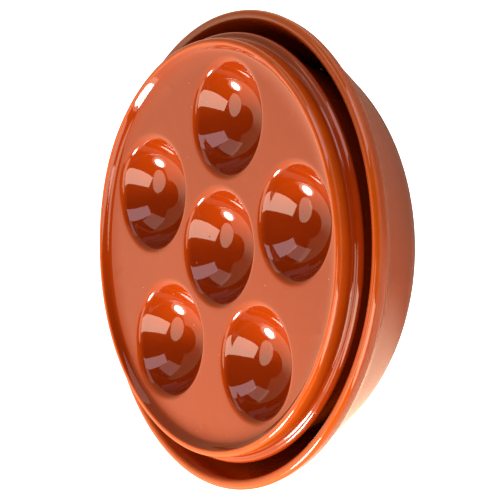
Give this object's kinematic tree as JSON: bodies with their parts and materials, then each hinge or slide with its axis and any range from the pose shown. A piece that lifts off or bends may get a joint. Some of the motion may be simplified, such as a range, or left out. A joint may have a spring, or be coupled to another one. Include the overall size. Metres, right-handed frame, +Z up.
{
  "type": "escargot plate",
  "caption": "Round glazed earthenware escargot plate with ball-shaped wells and a raised lip, lying in a wider base dish with a sloping wall.",
  "frame": {"origin": "centre of the dish's foot, on the surface it stands on", "axes": "+Z up, one outer well towards -Y, the side of the plate that stands higher towards +X"},
  "size_m": [0.1868, 0.1868, 0.0581],
  "materials": {
    "dish_glaze": "glossy",
    "plate_glaze": "glossy"
  },
  "bodies": {
    "root": {"base_bowl": "dish_glaze", "snail_plate": "plate_glaze"}
  },
  "joints": []
}
